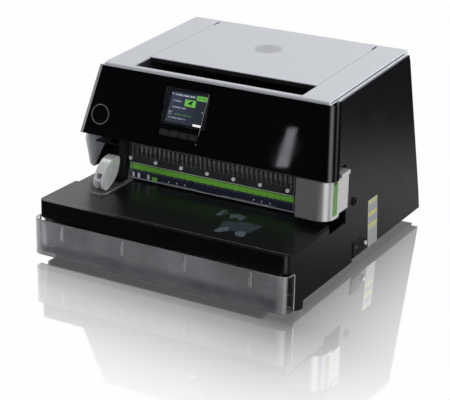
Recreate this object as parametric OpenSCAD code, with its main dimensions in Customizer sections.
// Heavy-duty desktop modular punch: the die set slides in from the right-hand side.
// Origin: floor level, middle of the footprint. +X right, -Y front, +Z up. Millimetres.

/* [Paper table] */
// width of the paper table
table_w = 442; // [420:1:450]
// height of the table top above the desk
table_z = 101; // [90:1:110]
// front edge of the table
table_front = -245; // [-260:1:-230]

/* [Punching] */
// number of punch pins
pin_count = 34; // [10:1:34]
// distance from pin to pin, three to the inch
pin_pitch = 8.4667; // [8:0.0001:10]
// radius of one pin
pin_r = 1.9; // [1:0.05:2.4]
// radial running clearance of a pin in its guide
pin_gap = 0.08; // [0.02:0.01:0.1]
// travel of the ram
stroke = 10; // [6:0.5:10]

/* [Drive] */
// gear module
gear_m = 1.5; // [1:0.25:2]
// teeth on the shaft gear and on the idler
gear_teeth = 32; // [24:1:32]
// teeth on the motor pinion
pinion_teeth = 16; // [12:1:20]

/* [Hidden] */

wall = 3;
lean = 2.577;
half_w = 222;
foot_z = 12;
black = [0.06, 0.06, 0.07];
grey = [0.55, 0.56, 0.58];
light = [0.78, 0.79, 0.81];
steel = [0.65, 0.66, 0.68];
clear = [0.8, 0.85, 0.9, 0.35];
frost = [0.85, 0.87, 0.9, 0.6];

// fascia plane: bottom edge of the leaning front panel, and its backward lean
fascia_y = -117;
fascia_z = 176.5;
fascia_lean = 17.54;
fascia_h = 114.8;
fascia_half = 230;
fascia_taper = 8.75;

// top plane: front edge of the top, and its rise towards the back
top_y = -83;
top_z = 290.6;
top_rise = 3;
top_len = 293;
top_half = 209;
top_edge = 4.5;
lid_half = 150.5;
lid_front = 57.7;
hinge_y = 283;
hinge_z = -10;

// punch line and drive shaft
punch_y = -68;
shaft_z = 226;
throw = stroke / 2;
idler_y = punch_y + gear_m * gear_teeth * cos(45);
idler_z = shaft_z - gear_m * gear_teeth * sin(45);
mesh_angle = 2.5 * 360 / gear_teeth;
pinion_reach = gear_m * (gear_teeth + pinion_teeth) / 2;
pinion_y = idler_y + pinion_reach * cos(mesh_angle);
pinion_z = idler_z - pinion_reach * sin(mesh_angle);
plate_x = 156.5;
plate_t = 5;
post_x = 142;
post_y = -36;
post_r = 6;

// helpers -----------------------------------------------------------------------------

// flat shape with rounded corners, centred
module pad(w, d, r) {
    union() {
        square([w - 2 * r, d], center = true);
        square([w, d - 2 * r], center = true);
        for (sx = [-1, 1], sy = [-1, 1]) {
            translate([sx * (w / 2 - r), sy * (d / 2 - r)])
                circle(r = r, $fn = 48);
        }
    }
}

// box from one corner to the opposite corner
module block(a, b) {
    translate(a)
        cube([b[0] - a[0], b[1] - a[1], b[2] - a[2]]);
}

// cylinder along X, starting at x
module bar_x(x, y, z, r, len) {
    translate([x, y, z])
        rotate([0, 90, 0])
            cylinder(h = len, r = r, $fn = 64);
}

// side outline (y, z) extruded along X with its inner face at x
module slab_x(x, t) {
    translate([x, 0, 0])
        rotate([90, 0, 90])
            linear_extrude(height = t)
                children();
}

// working plane of the fascia: local x across, y up the slope, z outwards
module on_fascia() {
    translate([0, fascia_y, fascia_z])
        rotate([90 - fascia_lean, 0, 0])
            children();
}

// working plane of the top: local y backwards along the slope, z outwards
module on_top() {
    translate([0, top_y, top_z])
        rotate([top_rise, 0, 0])
            children();
}

// right-hand side wall, drawn as a (y, z) outline standing on the leaning wall plane
module on_side() {
    translate([half_w, 0, 18])
        rotate([0, -lean, 0])
            translate([-wall, 0, -18])
                rotate([90, 0, 90])
                    linear_extrude(height = wall)
                        children();
}

// straight cylinder that crosses the right-hand wall at (y, z)
module through_side(y, z, r, from, len) {
    translate([half_w, 0, 18])
        rotate([0, -lean, 0])
            translate([from, y, z - 18])
                rotate([0, 90, 0])
                    cylinder(h = len, r = r, $fn = 64);
}

// involute spur gear lying in the XY plane
module gear(teeth, width, turn) {
    rp = gear_m * teeth / 2;
    rb = rp * cos(20);
    ra = rp + gear_m * 0.94;
    rr = rp - gear_m * 1.2;
    lash = 0.35 / rp * 57.3 / 2;
    start = 90 / teeth - lash + tan(20) * 180 / PI - 20;
    steps = 4;
    radii = [for (i = [0:steps]) max(rb, rr) + (ra - max(rb, rr)) * i / steps];
    roll = [for (r = radii) sqrt(max(0, (r / rb) * (r / rb) - 1)) * 180 / PI];
    dev = [for (t = roll) t - atan(t * PI / 180)];
    pts = [for (k = [0:teeth - 1])
        for (p = concat([[rr, -start]],
                        [for (i = [0:steps]) [radii[i], dev[i] - start]],
                        [for (i = [0:steps]) [radii[steps - i], start - dev[steps - i]]],
                        [[rr, start]]))
            p[0] * [cos(p[1] + k * 360 / teeth + turn), sin(p[1] + k * 360 / teeth + turn)]];
    linear_extrude(height = width)
        polygon(pts);
}

// base and feet -------------------------------------------------------------------------

module base_pan() {
    color(black)
        difference() {
            union() {
                block([-213, -214, foot_z], [213, 250, foot_z + 2]);
                for (s = [0, 1]) {
                    mirror([s, 0, 0])
                        block([211, -200, foot_z], [213, 246.5, 21]);
                }
                block([-211, 60, foot_z], [211, 62, 24]);
            }
            for (s = [-1, 1], y = [-194, 205]) {
                translate([s * (y < 0 ? 207 : 180), y, foot_z - 1])
                    cylinder(h = 4, r = 2.5, $fn = 32);
            }
            for (i = [0:9]) {
                block([-110 + i * 14, 110, foot_z - 1], [-104 + i * 14, 190, foot_z + 3]);
            }
        }
}

module rubber_feet() {
    color([0.12, 0.12, 0.12])
        for (s = [-1, 1], y = [-194, 205]) {
            translate([s * (y < 0 ? 207 : 180), y, 0])
                union() {
                    cylinder(h = foot_z - 0.2, r = 15, $fn = 64);
                    cylinder(h = foot_z + 3, r = 2.3, $fn = 32);
                    translate([0, 0, foot_z + 2.1])
                        cylinder(h = 1.4, r = 3.7, $fn = 48);
                }
        }
}

// side, skirt and rear panels -----------------------------------------------------------

module side_outline_right() {
    difference() {
        polygon([[-221, 13], [-234, 76], [-236, 97.5], [-103, 97.5], [-103, 87], [-44, 87],
                 [-44, 184], [-103.5, 184], [-71.5, 268], [-63.2, 280], [-63.2, 287.1],
                 [197, 300.8], [201.5, 290], [248.8, 54.2], [-20, 54.2], [-20, 13]]);
        translate([-15, 114])
            circle(r = 6, $fn = 48);
    }
}

module side_outline_left() {
    polygon([[-221, 13], [-234, 76], [-236, 97.5], [-44, 97.5], [-44, 114.3], [-96, 114.3],
             [-104, 120], [-120, 168], [-120, 176], [-98.2, 176], [-98.2, 184],
             [-71.5, 268], [-63.2, 280], [-63.2, 287.1], [197, 300.8], [201.5, 290],
             [248.8, 54.2], [-20, 54.2], [-20, 13]]);
}

module side_panel_right() {
    color(black)
        on_side()
            side_outline_right();
}

module side_panel_left() {
    color(black)
        mirror([1, 0, 0])
            on_side()
                side_outline_left();
}

module skirt_outline() {
    polygon([[-19.8, 18], [254, 18], [248.9, 54.05], [-19.8, 54.05]]);
}

module skirt_right() {
    color(black)
        on_side()
            difference() {
                skirt_outline();
                translate([-1, 32])
                    square([29, 22], center = true);
                translate([25, 31.5])
                    circle(r = 5.2, $fn = 48);
            }
}

module skirt_left() {
    color(black)
        mirror([1, 0, 0])
            on_side()
                skirt_outline();
}

rear_tilt = 10.35;
rear_half = 207;

module on_rear() {
    translate([0, 254, 18])
        rotate([90 + rear_tilt, 0, 0])
            children();
}

module rear_panel() {
    color(black)
        on_rear()
            difference() {
                linear_extrude(height = 2)
                    polygon([[-218.2, 0], [218.2, 0], [206.4, 271], [-206.4, 271]]);
                for (i = [0:11], s = [-1, 1]) {
                    translate([s * 110 - 66 + i * 12, 150, -1])
                        linear_extrude(height = 4)
                            pad(5, 50, 2.4);
                }
                translate([150, 34, -1])
                    linear_extrude(height = 4)
                        square([27.6, 20], center = true);
                for (s = [-1, 1], v = [12, 132, 258]) {
                    translate([s * 196, v, -1])
                        cylinder(h = 4, r = 1.9, $fn = 32);
                }
                for (s = [-1, 1]) {
                    translate([150 + s * 20, 34, -1])
                        cylinder(h = 4, r = 1.7, $fn = 32);
                }
            }
}

module rear_screws() {
    color(steel)
        on_rear()
            for (s = [-1, 1], v = [12, 132, 258]) {
                translate([s * 196, v, -1.6])
                    union() {
                        difference() {
                            cylinder(h = 1.6, r = 3.4, $fn = 48);
                            translate([0, 0, -1])
                                cylinder(h = 1.8, r = 1.5, $fn = 6);
                        }
                        cylinder(h = 10, r = 1.8, $fn = 32);
                    }
            }
}

// top shell, lid and storage well ---------------------------------------------------------

// rounded cross-section of the top, seen from the front
module top_section(cut) {
    r = 8 - cut;
    w = top_half - cut;
    union() {
        translate([-w + r, -12])
            square([2 * (w - r), 12 - cut]);
        for (s = [-1, 1]) {
            intersection() {
                translate([s * (w - r), -12])
                    circle(r = r, $fn = 96);
                translate([s * (w - r / 2), -12 + r / 2])
                    square([r, r], center = true);
            }
        }
    }
}

// profile of the top, seen from the side, with its round front nose and rear edge
module top_profile(cut) {
    a = -3 + cut;
    b = top_len - cut;
    rf = 5 - cut;
    rr = 4 - cut * 0.9;
    union() {
        translate([a + rf, -12])
            square([b - rr - a - rf, 12 - cut]);
        translate([a, -12])
            square([rf, 7]);
        translate([b - rr, -12])
            square([rr, 12 - cut - rr]);
        intersection() {
            translate([a + rf, -cut - rf])
                circle(r = rf, $fn = 96);
            translate([a, -cut - rf])
                square([rf, rf]);
        }
        intersection() {
            translate([b - rr, -cut - rr])
                circle(r = rr, $fn = 96);
            translate([b - rr, -cut - rr])
                square([rr, rr]);
        }
    }
}

// plan of the top, with its two rounded rear corners
module top_plan(cut) {
    rc = 16;
    w = top_half - cut;
    union() {
        translate([-w, -10])
            square([2 * w, top_len - cut - rc + 10]);
        translate([-w + rc, 0])
            square([2 * (w - rc), top_len - cut]);
        for (s = [-1, 1]) {
            translate([s * (w - rc), top_len - cut - rc])
                circle(r = rc, $fn = 96);
        }
    }
}

module top_solid(cut) {
    intersection() {
        translate([0, top_len + 20, 0])
            rotate([90, 0, 0])
                linear_extrude(height = top_len + 40)
                    top_section(cut);
        slab_x(-300, 600)
            top_profile(cut);
        translate([0, 0, -40])
            linear_extrude(height = 60)
                top_plan(cut);
    }
}

module top_shell() {
    color(light)
        on_top()
            difference() {
                union() {
                    difference() {
                        top_solid(0);
                        top_solid(2.5);
                        block([-300, -20, -20], [300, 320, -top_edge]);
                    }
                    for (s = [0, 1]) {
                        mirror([s, 0, 0]) {
                            block([203.3, 20, -14], [206, 278, -3.4]);
                            block([151.3, 280.5, -20], [200, 283.2, -2.3]);
                            block([158, 274, -12], [163, 282, -2.3]);
                        }
                    }
                    block([-200, 4.4, -12], [200, 7.2, -2.3]);
                }
                block([-lid_half - 0.8, 7.2, -20], [lid_half + 0.8, top_len + 5, 5]);
                for (s = [0, 1]) {
                    mirror([s, 0, 0])
                        bar_x(140, hinge_y, -7.5, 2.5, 30);
                }
            }
}

module lid() {
    color(light)
        on_top()
            union() {
                difference() {
                    intersection() {
                        difference() {
                            slab_x(-lid_half, 2 * lid_half)
                                top_profile(0);
                            slab_x(-lid_half - 1, 2 * lid_half + 2)
                                top_profile(wall);
                        }
                        block([-lid_half, lid_front, -8], [lid_half, top_len, 5]);
                    }
                    for (s = [0, 1]) {
                        mirror([s, 0, 0])
                            block([lid_half - 3.5, 263, -20], [lid_half + 5, 281, 5]);
                    }
                }
                block([-lid_half, lid_front, -8], [lid_half, lid_front + 2.5, -2]);
                for (s = [0, 1]) {
                    mirror([s, 0, 0])
                        difference() {
                            union() {
                                block([138, 274, -9], [146.8, 289, -2.5]);
                                bar_x(138, hinge_y, -7.5, 5.5, 8.8);
                            }
                            bar_x(130, hinge_y, -7.5, 2.55, 30);
                        }
                }
            }
}

module lid_hinge_pins() {
    color(steel)
        on_top()
            for (s = [0, 1]) {
                mirror([s, 0, 0])
                    bar_x(139, hinge_y, -7.5, 2.5, 24);
            }
}

module storage_well() {
    color(black)
        on_top()
            difference() {
                union() {
                    block([-156, 8, -28], [156, 62, -3.3]);
                    block([-156, 60, -76], [156, 258, -3.3]);
                    block([-170, 7.5, -5.3], [170, 258, -3.3]);
                }
                block([-151.5, 10, -25.5], [151.5, 64, 2]);
                block([-153.5, 62.5, -73.5], [153.5, 255.5, 2]);
            }
}

// fascia and controls ---------------------------------------------------------------------

// half space with one rounded edge, following the tapered side of the fascia
module fascia_edge(s, cut) {
    r = (s == 1 ? 4 : 13) - cut;
    mirror([s, 0, 0])
        translate([fascia_half - cut, 0, -cut])
            rotate([0, 0, fascia_taper])
                rotate([90, 0, 0])
                    translate([0, 0, -200])
                        linear_extrude(height = 400)
                            union() {
                                translate([-600, -60])
                                    square([600 - r, 60]);
                                translate([-r - 1, -60])
                                    square([r + 1, 60 - r]);
                                translate([-r, -r])
                                    circle(r = r, $fn = 96);
                            }
}

module fascia_solid(cut, low, high) {
    intersection() {
        fascia_edge(0, cut);
        fascia_edge(1, cut);
        translate([-300, low, -18])
            cube([600, high - low, 18 - cut]);
    }
}

module front_fascia() {
    color(black)
        difference() {
            on_fascia()
                fascia_solid(0, -12, fascia_h);
            intersection() {
                on_fascia()
                    translate([0, 0, -0.01])
                        fascia_solid(wall, -20, fascia_h + 10);
                block([-300, -300, fascia_z + wall], [300, 300, 400]);
            }
            block([-300, -300, 100], [300, 300, fascia_z]);
            on_fascia()
                union() {
                    translate([-42.5, 69.5, -10])
                        linear_extrude(height = 20)
                            pad(79, 58, 2);
                    for (i = [0:3]) {
                        translate([-73.2 + i * 17.7, 26.5, -10])
                            linear_extrude(height = 20)
                                pad(16.6, 10.6, 1.5);
                    }
                    translate([-13, 16.4, -10])
                        cylinder(h = 20, r = 1.6, $fn = 32);
                }
        }
}

module display_window() {
    color(clear)
        on_fascia()
            translate([-42.5, 69.5, -2.2])
                linear_extrude(height = 1.6)
                    pad(78.6, 57.6, 1.8);
}

module lcd_panel() {
    color([0.1, 0.14, 0.3])
        on_fascia()
            translate([-42.5, 69.5, -7.5])
                linear_extrude(height = 5)
                    square([76, 55], center = true);
}

module display_board() {
    color([0.05, 0.3, 0.12])
        on_fascia()
            difference() {
                translate([-42.5, 52, -16.5])
                    union() {
                        linear_extrude(height = 1.6)
                            square([96, 70], center = true);
                        for (i = [0:3]) {
                            translate([-30.7 + i * 17.7, -25.5, 1.6])
                                linear_extrude(height = 3)
                                    square([6, 6], center = true);
                        }
                        translate([0, 17.5, 1.6])
                            linear_extrude(height = 7.3)
                                square([60, 8], center = true);
                    }
                for (s = [-1, 1], v = [21, 83]) {
                    translate([-42.5 + s * 44, v, -20])
                        cylinder(h = 10, r = 1.6, $fn = 32);
                }
            }
}

module menu_button(i) {
    color([0.15, 0.15, 0.16])
        on_fascia()
            translate([-73.2 + i * 17.7, 26.5, -10])
                union() {
                    linear_extrude(height = 11.5)
                        pad(15.8, 9.8, 1.4);
                    linear_extrude(height = 6.7)
                        square([16.8, 12], center = true);
                }
}

module menu_button_1() {
    menu_button(0);
}

module menu_button_2() {
    menu_button(1);
}

module menu_button_3() {
    menu_button(2);
}

module menu_button_4() {
    menu_button(3);
}

module status_led() {
    color([0.4, 0.9, 0.4])
        on_fascia()
            translate([-13, 16.4, -5.7])
                union() {
                    cylinder(h = 6.3, r = 1.5, $fn = 32);
                    cylinder(h = 2.5, r = 2.2, $fn = 32);
                }
}

// paper table, sill and throat ------------------------------------------------------------

module table_plan(cut) {
    w = table_w - 2 * cut;
    r = 11 - cut;
    difference() {
        translate([0, table_front + cut + 60])
            pad(w, 120, r);
        translate([-300, -141.7])
            square([600, 200]);
    }
}

module paper_table() {
    color(black)
        difference() {
            translate([0, 0, 72.5])
                linear_extrude(height = table_z - 72.5)
                    table_plan(0);
            translate([0, 0, 60])
                linear_extrude(height = table_z - 60 - 3)
                    table_plan(3);
            block([-300, -236, 60], [300, -100, table_z - 3.3]);
            block([-300, -300, 60], [-table_w / 2 + 1, -100, 60.1]);
        }
}

module throat_sill() {
    color(black)
        difference() {
            union() {
                block([-215, -141.3, table_z - 6], [215, -97.6, table_z]);
                block([-215, -98, table_z - 6], [-162.3, -46.5, table_z]);
                block([-209, -141.3, 77], [209, -138.3, table_z - 1]);
            }
            block([-300, -138, 60], [-156, -30, table_z - 3]);
        }
}

module throat_liner() {
    color(grey)
        union() {
            block([-211.5, -46, 101.3], [-162, -43.5, 160.5]);
            block([-211.5, -96.5, 158], [-162, -43.5, 160.5]);
            block([-164.5, -99.5, 101.3], [-162, -43.5, 160.5]);
            block([-164.5, -99.5, 101.3], [-153.5, -97.3, 176.2]);
        }
}

module chip_tray() {
    color(frost)
        difference() {
            union() {
                translate([0, 0, 13])
                    linear_extrude(height = 58.5)
                        tray_plan(0);
                block([-206, -240, 16], [206, -46, 66]);
            }
            translate([0, 0, 18.5])
                linear_extrude(height = 80)
                    tray_plan(2.5);
            block([-203.5, -240, 18.5], [203.5, -48.5, 90]);
            for (s = [0, 1]) {
                mirror([s, 0, 0])
                    block([206, -232, 10], [240, -200, 90]);
            }
        }
    color(frost)
        for (i = [-1.527, -0.527, 0.473, 1.473]) {
            block([i * 112 - 3, -251.7, 43], [i * 112 + 3, -244, 66]);
        }
}

// bow-fronted head of the tray, with short returns round the front corners
module tray_plan(cut) {
    intersection() {
        translate([0, -254 + cut + 60])
            pad(2 * (227.6 - cut), 120, 16 - cut);
        translate([-300, -300])
            square([600, 68]);
    }
}

// edge guide --------------------------------------------------------------------------------

// pivot of the clamp lever, seen from the side
lever_y = -156.4;
lever_z = 117.4;

module edge_guide_plate() {
    color(clear)
        union() {
            translate([0, 0, table_z + 0.3])
                linear_extrude(height = 2)
                    union() {
                        translate([-157, -148])
                            pad(30, 60, 9);
                        translate([-150, -130])
                            square([8, 37.5]);
                    }
            slab_x(-144, 2)
                polygon([[-121, table_z + 0.3], [-92.5, table_z + 0.3], [-92.5, 133],
                         [-97, 133], [-106, 108]]);
        }
}

module guide_clamp_block() {
    color(steel)
        difference() {
            slab_x(-163, 8)
                union() {
                    translate([lever_y, lever_z])
                        circle(r = 6.6, $fn = 64);
                    translate([lever_y - 6.6, table_z + 2.4])
                        square([13.2, lever_z - table_z - 2.4]);
                }
            bar_x(-170, lever_y, lever_z, 2.05, 40);
        }
}

module guide_lever_pin() {
    color(steel)
        bar_x(-167, lever_y, lever_z, 2, 16);
}

// leaf-shaped side outline of the lever: round hub, two arcs, blunt tip
module lever_outline() {
    union() {
        translate([lever_y, lever_z])
            circle(r = 13.4, $fn = 96);
        intersection() {
            translate([-160.5, 146.9])
                circle(r = 41.7, $fn = 128);
            translate([-127.5, 110.1])
                circle(r = 41.7, $fn = 128);
            translate([-144, 128.5])
                circle(r = 31.5, $fn = 96);
            translate([lever_y, lever_z])
                rotate([0, 0, 42])
                    translate([0, -40])
                        square([80, 80]);
        }
    }
}

module guide_lever() {
    color([0.85, 0.86, 0.88])
        difference() {
            slab_x(-168, 18)
                lever_outline();
            bar_x(-163.4, lever_y, lever_z, 15.8, 8.8);
            bar_x(-167.3, lever_y, lever_z, 2.08, 16.6);
        }
}

// die set -----------------------------------------------------------------------------------

module pin_holes(r, low, high) {
    for (i = [0:pin_count - 1]) {
        translate([(i - (pin_count - 1) / 2) * pin_pitch, punch_y, low])
            cylinder(h = high - low, r = r, $fn = 32);
    }
}

module die_plate() {
    color(steel)
        difference() {
            union() {
                block([-152, -95, 88.4], [168, -49, 100.8]);
                block([158, -86, 88.4], [168, -49, 145]);
                block([-152, -86, 88.4], [-147, -49, 103.2]);
            }
            pin_holes(pin_r + pin_gap, 80, 110);
            block([-148, -76, 80], [148, -60, 94]);
        }
}

module pin_guide_bar() {
    color(steel)
        difference() {
            block([-152, -86, 103.5], [157.8, -49, 145]);
            pin_holes(pin_r + pin_gap, 100, 150);
            for (i = [0:6]) {
                translate([-150.6 + 3 + i * 48.2 - i * 0.4, -70, 139.5])
                    rotate([90, 0, 0])
                        cylinder(h = 20, r = 1.6, $fn = 32);
            }
        }
}

module punch_pins() {
    color([0.8, 0.81, 0.83])
        pin_holes(pin_r, 104.3, 163);
}

module pin_bar() {
    color(steel)
        difference() {
            union() {
                block([-150, -76, 158], [152, -60, 167.5]);
                block([-150, -72, 167], [152, -64, 173.5]);
                block([-150, -79, 173], [152, -57, 179]);
            }
            pin_holes(pin_r + 0.05, 150, 163);
        }
}

module scale_strip() {
    color([0.35, 0.7, 0.2])
        block([-151, -87, 120.2], [157, -86.05, 130.2]);
}

module die_label_strip() {
    color([0.08, 0.1, 0.2])
        block([-151, -87, 104], [157, -86.05, 120.1]);
}

module die_cover() {
    color(clear)
        difference() {
            union() {
                block([-151, -89.2, 131.4], [157, -87.2, 166]);
                block([-151, -87.3, 131.4], [157, -86.05, 137]);
            }
            for (i = [0:6]) {
                translate([-150.6 + 3 + i * 47.8, -70, 139.5])
                    rotate([90, 0, 0])
                        cylinder(h = 30, r = 1.8, $fn = 32);
            }
        }
}

module die_screws() {
    color([0.85, 0.85, 0.86])
        for (i = [0:6]) {
            translate([-150.6 + 3 + i * 47.8, -89.3, 139.5])
                rotate([90, 0, 0])
                    union() {
                        difference() {
                            cylinder(h = 2.2, r = 3.1, $fn = 48);
                            translate([0, 0, 1.2])
                                cylinder(h = 2, r = 1.5, $fn = 6);
                        }
                        translate([0, 0, -15])
                            cylinder(h = 15.2, r = 1.55, $fn = 32);
                    }
        }
}

// D-shaped pull, rounded at its outer front corner
module handle_plan(cut) {
    union() {
        translate([168.2 + cut, -100])
            square([56.8 - 2 * cut, 46 - cut]);
        translate([168.2 + cut, -121 + cut])
            square([56.8 - 22 - cut, 40]);
        translate([225 - 22, -99])
            circle(r = 22 - cut, $fn = 96);
    }
}

module die_handle() {
    color(light)
        difference() {
            union() {
                translate([0, 0, 113])
                    linear_extrude(height = 62)
                        intersection() {
                            handle_plan(0);
                            translate([100, -200])
                                square([200, 115]);
                        }
                translate([0, 0, 118])
                    linear_extrude(height = 57)
                        handle_plan(0);
                block([190, -84, 174], [227, -54, 180.5]);
            }
            block([172, -117, 100], [205, -58, 171]);
        }
}

// press frame and drive ----------------------------------------------------------------------

module die_bed() {
    color(steel)
        difference() {
            union() {
                block([-156.3, -97, 77], [156.3, -37, 88.2]);
                block([-156.3, -48.5, 77], [156.3, -43.5, 98]);
            }
            block([-149, -79, 70], [149, -57, 100]);
            for (s = [-1, 1]) {
                translate([s * post_x, post_y, 70])
                    cylinder(h = 30, r = post_r, $fn = 64);
            }
        }
}

module frame_outline() {
    polygon([[-97, 76.8], [-40, 76.8], [-40, 14.2], [22, 14.2], [22, 120], [10, 210],
             [-18, 254], [-86, 254], [-97, 190]]);
}

module frame_plate_left() {
    color(steel)
        difference() {
            slab_x(-plate_x - plate_t, plate_t)
                difference() {
                    frame_outline();
                    translate([punch_y, shaft_z])
                        circle(r = 10, $fn = 64);
                    translate([idler_y, idler_z])
                        circle(r = 4, $fn = 48);
                    translate([pinion_y, pinion_z])
                        circle(r = 8, $fn = 64);
                }
        }
}

module frame_plate_right() {
    color(steel)
        slab_x(plate_x, plate_t)
            difference() {
                frame_outline();
                translate([-120, 86.5])
                    square([120 - 44, 98]);
                translate([punch_y, shaft_z])
                    circle(r = 10, $fn = 64);
            }
}

module top_crossbar() {
    color(steel)
        difference() {
            block([-156.3, -46.5, 244], [156.3, -27, 253]);
            for (s = [-1, 1]) {
                translate([s * post_x, post_y, 230])
                    cylinder(h = 30, r = post_r, $fn = 64);
            }
        }
}

module guide_posts() {
    color([0.8, 0.81, 0.83])
        for (s = [-1, 1]) {
            translate([s * post_x, post_y, 77])
                cylinder(h = 176, r = post_r, $fn = 64);
        }
}

module ram_bar() {
    color(steel)
        difference() {
            union() {
                block([-150, -84, 182], [150, -52, 202]);
                for (s = [0, 1]) {
                    mirror([s, 0, 0])
                        block([131, -53, 182], [153, -27.4, 202]);
                }
                block([-150, -85.5, 168.5], [150, -80.5, 184]);
                block([-150, -85.5, 168.5], [150, -75.5, 172.6]);
                block([-150, -55.5, 168.5], [150, -50.5, 184]);
                block([-150, -60.5, 168.5], [150, -50.5, 172.6]);
            }
            block([-160, -80, 172.6], [160, -56, 179.5]);
            for (s = [-1, 1]) {
                translate([s * post_x, post_y, 170])
                    cylinder(h = 50, r = post_r + 0.08, $fn = 64);
            }
        }
}

yoke_r = 11;
yoke_x = 100;

module ram_yokes() {
    color(steel)
        for (s = [-1, 1]) {
            slab_x(s * yoke_x - 5, 10)
                difference() {
                    translate([punch_y - 19.5, 202])
                        square([39, 46]);
                    translate([punch_y, shaft_z + throw])
                        square([2 * (yoke_r + throw) + 0.6, 2 * yoke_r + 2.6], center = true);
                }
        }
}

module drive_shaft() {
    color([0.75, 0.76, 0.78])
        union() {
            bar_x(-180, punch_y, shaft_z, 5, 346);
            for (s = [-1, 1]) {
                bar_x(s * yoke_x - 6.5, punch_y, shaft_z + throw, yoke_r, 13);
            }
        }
}

module shaft_bearings() {
    color([0.7, 0.55, 0.25])
        for (s = [0, 1]) {
            mirror([s, 0, 0])
                difference() {
                    union() {
                        bar_x(plate_x, punch_y, shaft_z, 10, plate_t);
                        bar_x(plate_x - 2, punch_y, shaft_z, 12.5, 2);
                    }
                    bar_x(plate_x - 5, punch_y, shaft_z, 5.05, plate_t + 10);
                }
        }
}

// gears stand outside the left frame plate
gear_x = -176;
gear_w = 8;

module at_gear(y, z) {
    translate([gear_x, y, z])
        rotate([90, 0, 90])
            children();
}

module shaft_gear() {
    color(steel)
        at_gear(punch_y, shaft_z)
            difference() {
                gear(gear_teeth, gear_w, 0);
                translate([0, 0, -1])
                    cylinder(h = gear_w + 2, r = 5, $fn = 64);
            }
}

module idler_gear() {
    color(steel)
        at_gear(idler_y, idler_z)
            difference() {
                gear(gear_teeth, gear_w, 180 / gear_teeth);
                translate([0, 0, -1])
                    cylinder(h = gear_w + 2, r = 4.06, $fn = 64);
            }
}

module idler_stud() {
    color(steel)
        union() {
            bar_x(-182, idler_y, idler_z, 4, 182 - plate_x);
            bar_x(-167, idler_y, idler_z, 7, 167 - plate_x - plate_t);
            bar_x(-180, idler_y, idler_z, 6.5, 3);
        }
}

module motor_pinion() {
    color(steel)
        union() {
            at_gear(pinion_y, pinion_z)
                gear(pinion_teeth, gear_w, 5.625);
            bar_x(-178, pinion_y, pinion_z, 4, 30);
        }
}

module drive_motor() {
    color([0.25, 0.26, 0.28])
        difference() {
            union() {
                bar_x(-156.3, pinion_y, pinion_z, 24, 78);
                bar_x(-78.5, pinion_y, pinion_z, 16, 8);
                block([-156.3, pinion_y - 23, pinion_z - 28], [-150.3, pinion_y + 28, pinion_z + 24]);
            }
            bar_x(-160, pinion_y, pinion_z, 4.06, 40);
            for (i = [0:5]) {
                translate([0, pinion_y, pinion_z])
                    rotate([i * 60 + 30, 0, 0])
                        block([-136, 20, -4], [-90, 30, 4]);
            }
        }
}

// electrics -----------------------------------------------------------------------------------

module power_supply() {
    color([0.7, 0.71, 0.72])
        difference() {
            block([60, 90, 18], [170, 200, 66]);
            for (i = [0:7]) {
                block([70 + i * 12, 80, 30], [75 + i * 12, 100, 56]);
                block([70 + i * 12, 104, 60], [75 + i * 12, 186, 70]);
            }
        }
}

module control_board() {
    color([0.05, 0.3, 0.12])
        union() {
            block([-180, 80, 24], [-40, 190, 25.6]);
            block([-170, 90, 25.6], [-140, 120, 44]);
            block([-126, 94, 25.6], [-98, 122, 29]);
            block([-80, 90, 25.6], [-50, 98, 37]);
            block([-170, 172, 25.6], [-110, 182, 38]);
            for (i = [0:2]) {
                translate([-120 + i * 26, 150, 25.6])
                    cylinder(h = 24, r = 9, $fn = 48);
            }
            for (sx = [-174, -46], sy = [86, 184]) {
                translate([sx, sy, foot_z + 2])
                    cylinder(h = 12, r = 3, $fn = 32);
            }
        }
}

module in_side(y, z) {
    translate([half_w, 0, 18])
        rotate([0, -lean, 0])
            translate([0, y, z - 18])
                children();
}

module switch_housing() {
    color([0.08, 0.08, 0.08])
        in_side(-1, 32)
            difference() {
                union() {
                    block([-24, -14, -10.6], [1, 14, 10.6]);
                    block([0.05, -17, -12.5], [1.8, 17, 12.5]);
                }
                block([-12, -11, -7.6], [5, 11, 7.6]);
            }
}

module power_rocker() {
    color([0.1, 0.1, 0.1])
        in_side(-1, 32)
            translate([-5, 0, -7.2])
                rotate([0, 0, -8])
                    linear_extrude(height = 14.4)
                        union() {
                            circle(r = 4, $fn = 64);
                            polygon([[0, -3.4], [2, -10], [6.4, -10], [6.9, 0], [6.4, 10],
                                     [2, 10], [0, 3.4]]);
                        }
}

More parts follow.
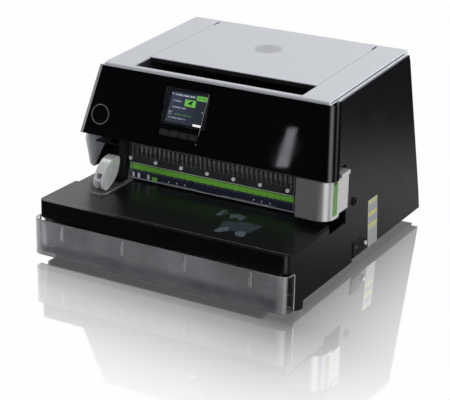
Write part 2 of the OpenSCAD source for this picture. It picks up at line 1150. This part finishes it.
module breaker_body() {
    color([0.1, 0.1, 0.1])
        difference() {
            union() {
                through_side(25, 31.5, 5.1, -3.2, 4.4);
                through_side(25, 31.5, 8, -22, 18.8);
                through_side(25, 31.5, 7, 0.05, 1.4);
            }
            through_side(25, 31.5, 3.58, -14, 30);
        }
}

module breaker_reset() {
    color([0.9, 0.9, 0.9])
        union() {
            through_side(25, 31.5, 3.5, -11, 15);
        }
}

module pedal_jack() {
    color([0.05, 0.05, 0.05])
        difference() {
            union() {
                through_side(-15, 114, 5.9, -16, 18);
                through_side(-15, 114, 7, 0.05, 2.4);
            }
            through_side(-15, 114, 3.2, -12, 30);
        }
}

module mains_inlet() {
    color([0.05, 0.05, 0.05])
        on_rear()
            difference() {
                union() {
                    translate([150, 34, -2])
                        linear_extrude(height = 1.9)
                            pad(50, 23, 3);
                    translate([150, 34, -1])
                        linear_extrude(height = 22)
                            square([27.2, 19.6], center = true);
                }
                translate([150, 34, -3])
                    linear_extrude(height = 18)
                        pad(24, 16.5, 2);
                for (s = [-1, 1]) {
                    translate([150 + s * 20, 34, -3])
                        cylinder(h = 6, r = 1.7, $fn = 32);
                }
            }
    color([0.8, 0.7, 0.4])
        on_rear()
            for (i = [-1, 0, 1]) {
                translate([150 + i * 7 - 1, 34 + (i == 0 ? 2 : -2) - 2, 4])
                    cube([2, 4, 11.5]);
            }
}

base_pan();
rubber_feet();
side_panel_left();
side_panel_right();
skirt_left();
skirt_right();
rear_panel();
rear_screws();
top_shell();
lid();
lid_hinge_pins();
storage_well();
front_fascia();
display_window();
lcd_panel();
display_board();
menu_button_1();
menu_button_2();
menu_button_3();
menu_button_4();
status_led();
paper_table();
throat_sill();
throat_liner();
chip_tray();
edge_guide_plate();
guide_clamp_block();
guide_lever();
guide_lever_pin();
die_plate();
pin_guide_bar();
punch_pins();
pin_bar();
scale_strip();
die_label_strip();
die_cover();
die_screws();
die_handle();
die_bed();
frame_plate_left();
frame_plate_right();
top_crossbar();
guide_posts();
ram_bar();
ram_yokes();
drive_shaft();
shaft_bearings();
shaft_gear();
idler_gear();
idler_stud();
motor_pinion();
drive_motor();
power_supply();
control_board();
switch_housing();
power_rocker();
breaker_body();
breaker_reset();
pedal_jack();
mains_inlet();
